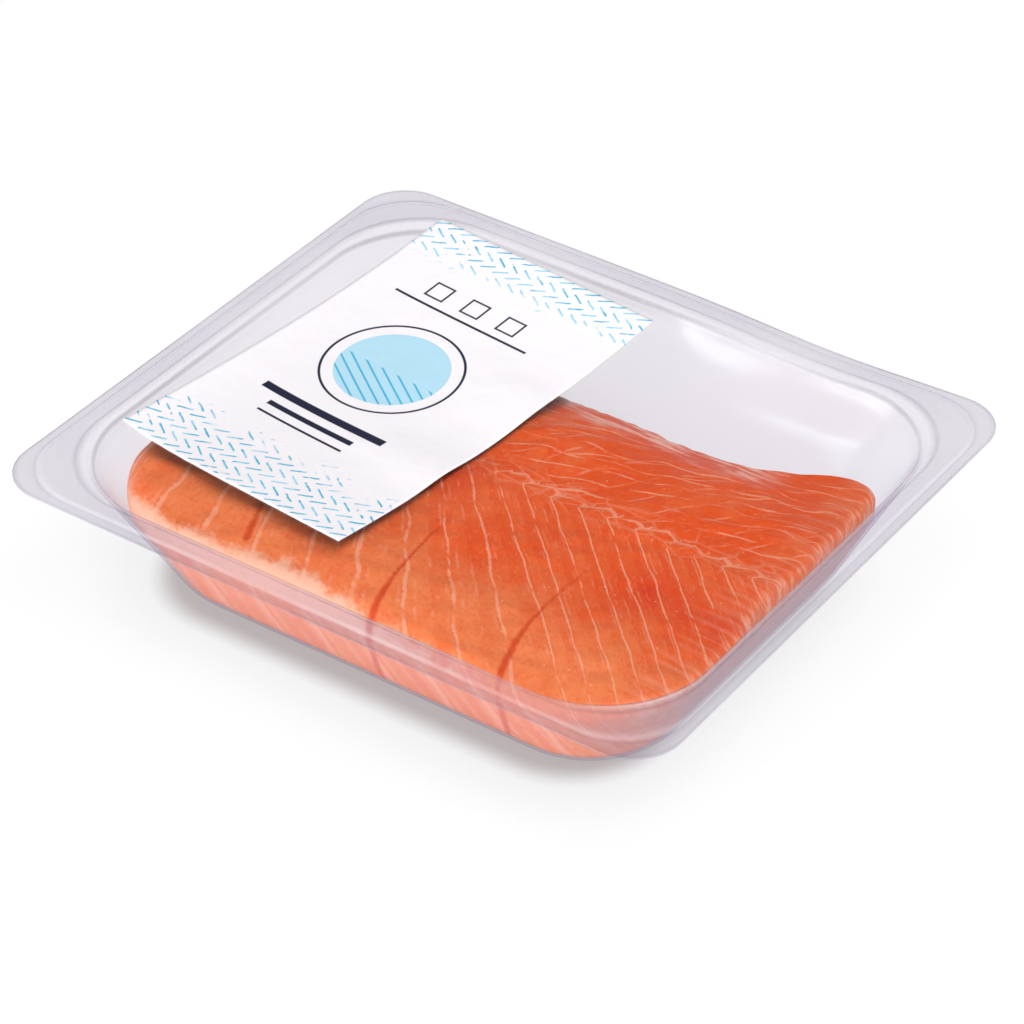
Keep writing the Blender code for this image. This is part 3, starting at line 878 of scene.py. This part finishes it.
def wall_reach(tray, angles, depth):
    """Distance from the fillet's middle to the tray's inner wall at a depth, in each direction: to where the
    ray meets a straight wall, or else to where it meets the arc of a rounded corner."""
    inset, height, tilt = cavity_profile(tray)
    inner_depth = -height - tray.wall / 2 * np.cos(tilt)
    inner_inset = inset + tray.wall / 2 * np.sin(tilt)
    inset = np.interp(depth, inner_depth, inner_inset)
    radius = corner_radius(tray, inset)
    half_length = tray.length / 2 - tray.margin - inset
    half_width = tray.width / 2 - tray.margin - inset
    x0, y0 = FILLET_MIDDLE
    c = np.where(np.abs(np.cos(angles)) < TINY, TINY, np.cos(angles))
    s = np.where(np.abs(np.sin(angles)) < TINY, TINY, np.sin(angles))
    straight = np.minimum((np.sign(c) * half_length - x0) / c, (np.sign(s) * half_width - y0) / s)
    x = x0 + straight * c
    y = y0 + straight * s
    centre_x = np.sign(x) * (half_length - radius) - x0
    centre_y = np.sign(y) * (half_width - radius) - y0
    forward = centre_x * c + centre_y * s
    aside = centre_x * s - centre_y * c
    arc = forward + np.sqrt(np.maximum(radius**2 - aside**2, 0))
    in_corner = (np.abs(x) > half_length - radius) & (np.abs(y) > half_width - radius)
    return np.where(in_corner, arc, straight)


def fillet_top(fillet, y):
    """Depth of the fillet's upper face below the flange."""
    near = fillet.near_fall * ease((fillet.near_fall_start - y) / fillet.fall_length)
    far = fillet.far_fall * ease((y - fillet.far_fall_start) / fillet.fall_length)
    return fillet.top + near + far


def slit_distance(x, y):
    """Distance to the nearest slit, and how open that slit is there, from 0 at its ends to 1. Each slit is a
    quadratic curve from its start to its end, drawn towards its bend."""
    least_gape = 0.72
    nearest = np.full(np.shape(x), 1.0)
    openness = np.zeros(np.shape(x))
    for start, bend, end in SLITS:
        start, bend, end = (np.array(point, float) * MM for point in (start, bend, end))
        for t in np.linspace(0, 1, 60):
            middle = (1 - t) ** 2 * start + 2 * t * (1 - t) * bend + t**2 * end
            gap = np.hypot(x - middle[0], y - middle[1])
            closer = gap < nearest
            nearest = np.where(closer, gap, nearest)
            widening = least_gape + (1 - least_gape) * ease((t - 0.4) / 0.3)
            gape = widening * ease(t / 0.12) * ease((1 - t) / 0.10)
            openness = np.where(closer, gape, openness)
    return nearest, openness


def near_line_count(fillet, x, away):
    """Which fat line a point on the near side lies at. Away from the central line the lines run to the right:
    x = start + slope * away + hook, where the slope grows from 0 at the left end to its full value at the
    middle, and the hook turns the line's last stretch. The start is found by repeated halfway steps."""
    full_slope = 1.03
    left_end, reach = -80 * MM, 75 * MM
    first_line = 4 * MM
    hook = 6 * MM * (1 - ease(away / (3.5 * MM)))
    start = np.array(x, float)
    for _ in range(12):
        slope = full_slope * np.clip((start - left_end) / reach, 0, 1)
        start = 0.5 * start + 0.5 * (x - slope * away - hook)
    return (start - first_line) / fillet.line_spacing


def far_line_count(fillet, x, away):
    """The same on the far side, where the lines start across the fillet and turn to run along it: x grows
    with the exponential of away at the left, and towards the right more and more with away itself."""
    straight_share = 0.75
    first_line = -4 * MM
    start = np.array(x, float)
    for _ in range(16):
        lean = ease((start + 5 * MM) / (35 * MM)) * straight_share
        run = (1 - lean) * np.exp((away - 5 * MM) / (7 * MM)) * MM + lean * 0.9 * away
        start = 0.6 * start + 0.4 * (x - run)
    return (start - first_line) / fillet.line_spacing


def fillet_grid(tray, fillet):
    """Place from above and depth below the flange of the fillet's points, in rows from the middle of its
    upper face, over its edge and down its side, to the middle of its underside. Each row is the middle plus
    a reach in every direction, and the side's reach is the lesser of its own outline and the tray's wall."""
    columns = 800
    rim_radius = 80 * MM
    rim_relief = 0.2 * MM
    under_shares = np.array((0.9, 0.7, 0.45, 0.2))[:, None]
    angles = np.linspace(-math.pi, math.pi, columns, endpoint=False)
    direction = np.column_stack((np.cos(angles), np.sin(angles)))
    rim = rim_radius * direction
    own = fillet_reach(angles) + rim_relief * ripples(rim[:, 0], rim[:, 1], 7 * MM, 5)
    away = (np.abs(angles) - fillet.cut_angle) / fillet.cut_fade
    rounding = fillet.cut_round + (fillet.edge_round - fillet.cut_round) * ease(away)

    def held_in(depth):
        """Reach at a depth."""
        return np.minimum(own, wall_reach(tray, angles, depth) - fillet.clearance)

    def top_at(reach):
        """Depth of the upper face at a reach."""
        return fillet_top(fillet, FILLET_MIDDLE[1] + direction[:, 1] * reach)

    shoulder = held_in(top_at(held_in(fillet.top)) + rounding) - rounding
    top_reach = shoulder * np.linspace(0, 1, 82)[1:, None]
    bend = np.linspace(0, math.pi / 2, 11)[1:, None]
    edge_reach = shoulder + rounding * np.sin(bend)
    edge_depth = top_at(edge_reach) + rounding * (1 - np.cos(bend))
    floor = tray.depth - tray.wall - fillet.clearance
    side_share = np.linspace(0, 1, 16)[1:, None]
    side_depth = edge_depth[-1] + (floor - edge_depth[-1]) * side_share
    side_reach = held_in(side_depth)
    under_reach = side_reach[-1] * under_shares
    under_depth = np.full(under_reach.shape, floor)
    reach = np.vstack((top_reach, edge_reach, side_reach, under_reach))
    depth = np.vstack((top_at(top_reach), edge_depth, side_depth, under_depth))
    x = FILLET_MIDDLE[0] + direction[:, 0] * reach
    y = FILLET_MIDDLE[1] + direction[:, 1] * reach
    return x, y, depth


def flesh_values(x, y, below_top, slit, openness):
    """Values that the flesh's colours read, from places and distances in metres. Distances come out in
    millimetres, mottle and sway lie about 0, and the other values run from 0 to 1."""
    side = below_top / MM
    belly_y = np.interp(x / MM, *zip(*BELLY_EDGE))
    mottle = ripples(x, y, 8 * MM, 31, waves=24)
    deep = np.zeros(x.shape)
    for patch_x, patch_y, patch_reach in DEEP_PATCHES:
        deep += bell(np.hypot(x / MM - patch_x, y / MM - patch_y), patch_reach)

    # Paler towards the left end and the near edge, and down the side. At the left end this is partly the
    # flesh's own tone and partly painted light over the label's shadow; down the side it is painted light.
    left_tone_and_painted_light = ease((20 - x / MM) / 58) * 0.78
    nearness = ease((-22 - y / MM) / 38) * 0.85
    light = np.maximum(left_tone_and_painted_light, nearness) + 0.16 * ripples(x, y, 24 * MM, 17) + 0.12 * mottle
    # Painted light: the side is paler
    light = np.maximum(light, 0.55 * ease(side / 8))

    # Band along the far edge, from 27 mm outwards and left of the cut end
    far_band = ease((y / MM + mottle - 27) / 6) * ease((60 - x / MM) / 14)
    return {
        "side": side,
        "mottle": mottle,
        "sway": ripples(x, y, 13 * MM, 12),
        "light": np.clip(light, 0, 1),
        "deep": np.clip(0.75 * deep + 0.16 * mottle - 0.1, 0, 1),
        "belly": belly_y - y / MM,
        "back": far_band * (1 - 0.6 * ease((side - 5) / 8)),
        "cut_end": ease((x / MM - 66) / 9) * (0.30 + 0.70 * ease(side / 1.2)),
        "slit": slit / MM * (1.3 - 0.65 * openness) + 0.75 * (1 - openness),
    }


def fillet_rows(tray, fillet):
    """Rows of the fillet with the values that its finish reads. Its upper face has steps of height
    |sin(pi * line)| between flakes, a broad and a fine swell, and a groove between two lips at each slit."""
    x, y, depth = fillet_grid(tray, fillet)
    below_top = np.maximum(depth - fillet_top(fillet, y), 0)
    seam = y - fillet.central_line
    near_line = near_line_count(fillet, x, np.maximum(-seam, 0) + 0.8 * below_top)
    far_line = far_line_count(fillet, x, np.maximum(seam, 0) + 0.5 * below_top)
    slit, openness = slit_distance(x, y)

    on_top = 1 - ease(below_top / (6 * MM))
    line = np.where(seam < 0, near_line, far_line)
    flakes = fillet.flake * np.abs(np.sin(math.pi * line)) * ease(np.abs(seam) / (3 * MM))
    swell = fillet.swell * ripples(x, y, 26 * MM, 4) + 0.10 * MM * ripples(x, y, 6 * MM, 9)
    groove = fillet.groove * openness * bell(slit, 0.6 * MM)
    lip = fillet.lip * openness * bell(slit, 2.4 * MM)
    z = tray.depth - depth + on_top * (flakes + np.minimum(swell, fillet.swell_limit) + lip - groove)

    values = flesh_values(x, y, below_top, slit, openness)
    values.update(seam=seam / MM, near_line=near_line, far_line=far_line)
    return np.stack((x, y, z), axis=-1), values


# Operators


class PACK_OT_tray(bpy.types.Operator):
    """Make the clear formed tray"""

    bl_idname = "pack.tray"
    bl_label = "Tray"

    def execute(self, context):
        pack = context.scene.salmon_pack
        material = clear_material("clear_tray_sheet", pack.tray, 0.2, formed=True)
        rows, values = tray_rows(pack.tray)
        points, faces = closed_rows(rows)
        values = {name: row_values(grid) for name, grid in values.items()}
        add_piece("clear_tray", points, faces, material, "tray", values=values)
        return {"FINISHED"}


class PACK_OT_film(bpy.types.Operator):
    """Make the clear film that seals the tray"""

    bl_idname = "pack.film"
    bl_label = "Film"

    def execute(self, context):
        pack = context.scene.salmon_pack
        material = clear_material("clear_lid_film", pack.film, 0.04)
        points, faces = closed_rows(film_rows(pack.tray, pack.film))
        add_piece("lid_film", points, faces, material, "film")
        return {"FINISHED"}


class PACK_OT_label(bpy.types.Operator):
    """Make the paper label on the film"""

    bl_idname = "pack.label"
    bl_label = "Label"

    def execute(self, context):
        pack = context.scene.salmon_pack
        grid, across, along = label_grid(pack.tray, pack.film, pack.label)
        rows, columns, _ = grid.shape
        corner = np.arange(rows - 1)[:, None] * columns + np.arange(columns - 1)
        faces = np.stack((corner, corner + columns, corner + columns + 1, corner + 1), axis=-1).reshape(-1, 4)
        material = label_material(pack.label)
        label = add_piece("paper_label", grid.reshape(-1, 3), faces.tolist(), material, "label")
        print_map = label.data.uv_layers.new(name="print")
        corners = np.zeros(len(label.data.loops), int)
        label.data.loops.foreach_get("vertex_index", corners)
        spots = np.column_stack((across.ravel(), along.ravel())) / MM
        print_map.data.foreach_set("uv", spots[corners].ravel())
        paper = label.modifiers.new("paper", "SOLIDIFY")
        paper.thickness = pack.label.thickness
        paper.offset = 1
        return {"FINISHED"}


class PACK_OT_fillet(bpy.types.Operator):
    """Make the piece of salmon fillet"""

    bl_idname = "pack.fillet"
    bl_label = "Fillet"

    def execute(self, context):
        pack = context.scene.salmon_pack
        material = flesh_material(pack.fillet)
        rows, values = fillet_rows(pack.tray, pack.fillet)
        points, faces = closed_rows(rows)
        outward = [face[::-1] for face in faces]
        values = {name: row_values(grid) for name, grid in values.items()}
        add_piece("salmon_fillet", points, outward, material, "fillet", sharp=60, values=values)
        return {"FINISHED"}


def aim(thing, spot):
    """Turn a camera or light so that it looks at a spot."""
    thing.rotation_euler = (Vector(spot) - thing.location).to_track_quat("-Z", "Y").to_euler()


def add_softbox(name, place, spot, width, height, power, mirrored):
    """Rectangular area light that faces a spot. The clear sheets mirror it, or it only lights the pack."""
    light = bpy.data.lights.new(name, "AREA")
    light.shape = "RECTANGLE"
    light.size = width
    light.size_y = height
    light.energy = power
    made = bpy.data.objects.new(name, light)
    made.location = place
    made.visible_camera = False
    made.visible_glossy = mirrored
    aim(made, spot)
    bpy.context.scene.collection.objects.link(made)


class PACK_OT_stage(bpy.types.Operator):
    """Make the floor, the soft light and the camera"""

    bl_idname = "pack.stage"
    bl_label = "Stage"

    def execute(self, context):
        pack = context.scene.salmon_pack
        stage = pack.stage
        self.add_floor(pack.tray, stage)
        self.add_light(context.scene)
        self.add_camera(context.scene, pack.tray, stage)
        context.scene.view_settings.view_transform = "Standard"

        # Light passes through many clear faces, and is seen again after few bounces
        context.scene.cycles.transparent_max_bounces = 32
        context.scene.cycles.max_bounces = 4
        context.scene.cycles.glossy_bounces = 2
        context.scene.cycles.diffuse_bounces = 0
        return {"FINISHED"}

    def add_floor(self, tray, stage):
        """A level square, three metres from the pack to each side."""
        reach = 3.0
        corners = [(-reach, -reach, 0), (reach, -reach, 0), (reach, reach, 0), (-reach, reach, 0)]
        mesh = bpy.data.meshes.new("floor")
        mesh.from_pydata(corners, [], [(0, 1, 2, 3)])
        mesh.materials.append(floor_material(tray, stage))
        floor = bpy.data.objects.new("floor", mesh)
        bpy.context.scene.collection.objects.link(floor)

    def add_light(self, scene):
        """A wide soft box overhead, two low ones at the near side, of which the left one gives the far wall
        its sheen, and a pale room that is darker overhead and where the film mirrors it to the camera."""
        add_softbox("top_softbox", place=(0.32, 0.02, 1.12), spot=(0, 0, 0), width=0.9, height=0.75, power=8,
                    mirrored=False)
        add_softbox("fill_softbox", place=(0.35, -0.95, 0.20), spot=(0, 0, 0.02), width=1.0, height=0.36,
                    power=6, mirrored=False)
        add_softbox("front_softbox", place=(-0.50, -0.95, 0.18), spot=(0, 0, 0.03), width=1.2, height=0.34,
                    power=5.5, mirrored=True)
        low_glow = 0.9
        overhead_loss = 0.38
        mirrored_share = 0.75
        room = bpy.data.worlds.new("soft_room")
        room.use_nodes = True
        finish = Finish(room)
        heading = finish.node("ShaderNodeTexCoord", output="Generated")
        mirrored = finish.node("ShaderNodeVectorMath", {"operation": "DOT_PRODUCT"},
                               {0: heading, 1: MIRRORED_HEADING}, "Value")
        height = finish.parts(heading)[2]
        strength = low_glow - overhead_loss * finish.step(height, 0.05, 0.5)
        strength = strength * (1.0 - mirrored_share * finish.step(mirrored, 0.72, 0.94))
        glow = finish.node("ShaderNodeBackground", None, {"Color": (1.0, 1.0, 1.0), "Strength": strength})
        finish.node("ShaderNodeOutputWorld", None, {"Surface": glow}, None)
        scene.world = room

    def add_camera(self, scene, tray, stage):
        """The camera looks down at the pack from the near right."""
        camera = bpy.data.cameras.new("camera")
        camera.lens = stage.focal_length
        camera.sensor_width = stage.sensor
        camera.clip_start = 0.01
        made = bpy.data.objects.new("camera", camera)
        target = Vector((stage.target_x, stage.target_y, tray.depth))
        level = math.cos(stage.elevation)
        away_x = math.sin(stage.azimuth) * level
        away_y = -math.cos(stage.azimuth) * level
        away = Vector((away_x, away_y, math.sin(stage.elevation)))
        made.location = target + away * stage.distance
        aim(made, target)
        scene.collection.objects.link(made)
        scene.camera = made


class PACK_PT_panel(bpy.types.Panel):
    """Lists the steps that make the pack"""

    bl_label = "Salmon Pack"
    bl_idname = "PACK_PT_panel"
    bl_space_type = "VIEW_3D"
    bl_region_type = "UI"
    bl_category = "Salmon Pack"

    def draw(self, context):
        for step in STEPS:
            self.layout.operator(step.bl_idname)


STEPS = (PACK_OT_stage, PACK_OT_tray, PACK_OT_film, PACK_OT_label, PACK_OT_fillet)
CLASSES = (
    TraySettings, FilmSettings, LabelSettings, FilletSettings, StageSettings, PackSettings,
    *STEPS,
    PACK_PT_panel,
)


def register():
    """Register the classes and give the scene its pack settings."""
    for cls in CLASSES:
        bpy.utils.register_class(cls)
    bpy.types.Scene.salmon_pack = PointerProperty(type=PackSettings)


def unregister():
    """Take back what register did."""
    del bpy.types.Scene.salmon_pack
    for cls in reversed(CLASSES):
        bpy.utils.unregister_class(cls)


def main():
    """Make the pack and its stage."""
    register()
    bpy.ops.pack.stage()
    bpy.ops.pack.tray()
    bpy.ops.pack.film()
    bpy.ops.pack.label()
    bpy.ops.pack.fillet()
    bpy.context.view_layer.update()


if __name__ == "__main__":
    main()
